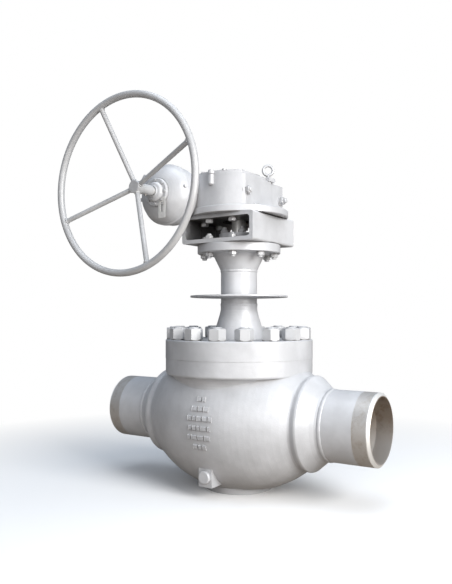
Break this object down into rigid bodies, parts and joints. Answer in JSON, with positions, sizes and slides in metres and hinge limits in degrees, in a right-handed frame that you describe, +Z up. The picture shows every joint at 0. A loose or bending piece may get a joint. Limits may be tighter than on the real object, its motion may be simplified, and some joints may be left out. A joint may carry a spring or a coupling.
{
  "type": "plug valve",
  "caption": "Top-entry quarter-turn plug valve with butt-weld ends, extended bonnet with drip plate, and a worm gear operator with handwheel.",
  "frame": {"origin": "where the stem axis crosses the pipe axis, in the middle of the bore", "axes": "+X along the pipe axis towards the outlet, +Z up along the stem, handwheel on the -Y side"},
  "size_m": [1.236, 0.8209, 1.555],
  "materials": {
    "cast_paint": "satin silver-grey paint over cast steel",
    "tube_paint": "satin silver-grey paint over machined and rolled steel",
    "wheel_paint": "satin silver-grey paint",
    "fastener_paint": "silver-grey paint over nuts and studs",
    "bright_steel": "plain machined or zinc-plated steel",
    "gear_steel": "oiled gear steel",
    "bronze": "bearing bronze",
    "dark_polymer": "filled polymer",
    "graphite": "pressed graphite"
  },
  "bodies": {
    "valve": {"valve_body": "cast_paint", "inlet_pup": "tube_paint", "outlet_pup": "tube_paint", "pup_welds": "tube_paint", "drain_plug": "tube_paint", "seat_rings": "bright_steel", "seat_inserts": "dark_polymer", "seat_springs": "bright_steel", "seat_seals": "dark_polymer", "trunnion_bushes": "bronze", "thrust_washer": "bronze", "bonnet_gasket": "graphite", "bonnet": "cast_paint", "bonnet_studs": "fastener_paint", "bonnet_nuts": "fastener_paint", "extension_tube": "tube_paint", "drip_plate": "tube_paint", "stem_guide_bush": "bronze", "top_flange": "cast_paint", "packing_rings": "graphite", "gland_bush": "bright_steel", "gland_flange": "tube_paint", "gland_studs": "fastener_paint", "gland_nuts": "fastener_paint", "yoke_plates": "tube_paint", "yoke_sides": "tube_paint", "yoke_studs": "fastener_paint", "yoke_nuts": "fastener_paint", "gearbox_bolts": "fastener_paint", "gearbox_housing": "cast_paint", "gearbox_cover": "tube_paint", "gearbox_screws": "fastener_paint", "eye_bolt": "fastener_paint", "stop_bolts": "fastener_paint", "stop_nuts": "fastener_paint", "quadrant_bushes": "bronze", "shaft_bearings": "bright_steel", "worm_end_cap": "tube_paint", "reducer_housing": "cast_paint", "reducer_cover": "cast_paint", "input_cap": "tube_paint", "reducer_screws": "fastener_paint", "blank_tag": "bright_steel", "ring_gear": "gear_steel"},
    "rotor": {"ball": "bright_steel", "stem": "bright_steel", "stem_key": "bright_steel", "worm_wheel": "bronze", "position_indicator": "dark_polymer"},
    "worm_set": {"worm": "gear_steel", "worm_shaft": "bright_steel", "planet_carrier": "gear_steel"},
    "planet_1": {"planet_gear_1": "bronze"},
    "planet_2": {"planet_gear_2": "bronze"},
    "planet_3": {"planet_gear_3": "bronze"},
    "handwheel": {"handwheel_rim": "wheel_paint", "handwheel_spokes": "wheel_paint", "handwheel_hub": "wheel_paint", "hub_set_screw": "gear_steel", "input_shaft": "bright_steel"}
  },
  "joints": [
    {"name": "handwheel_turn", "type": "hinge", "parent": "valve", "child": "handwheel", "pos_m": [-0.2, 0, 0.915], "axis": [0, 1, 0], "range_deg": [0, 14400]},
    {"name": "worm_turn", "type": "hinge", "parent": "valve", "child": "worm_set", "pos_m": [-0.2, 0, 0.915], "axis": [0, 1, 0], "range_deg": [0, 3600]},
    {"name": "stem_turn", "type": "hinge", "parent": "valve", "child": "rotor", "pos_m": [0, 0, 0.915], "axis": [0, 0, 1], "range_deg": [-90, 0]},
    {"name": "planet_1_turn", "type": "hinge", "parent": "worm_set", "child": "planet_1", "pos_m": [-0.14, 0, 0.915], "axis": [0, 1, 0], "range_deg": [-10800, 0]},
    {"name": "planet_2_turn", "type": "hinge", "parent": "worm_set", "child": "planet_2", "pos_m": [-0.23, 0, 0.96696], "axis": [0, 1, 0], "range_deg": [-10800, 0]},
    {"name": "planet_3_turn", "type": "hinge", "parent": "worm_set", "child": "planet_3", "pos_m": [-0.23, 0, 0.86304], "axis": [0, 1, 0], "range_deg": [-10800, 0]}
  ],
  "couplings": [
    {"joint": "worm_turn", "follows": "handwheel_turn", "ratio": 0.25},
    {"joint": "stem_turn", "follows": "handwheel_turn", "ratio": -0.00625},
    {"joint": "planet_1_turn", "follows": "handwheel_turn", "ratio": -0.75},
    {"joint": "planet_2_turn", "follows": "handwheel_turn", "ratio": -0.75},
    {"joint": "planet_3_turn", "follows": "handwheel_turn", "ratio": -0.75}
  ]
}
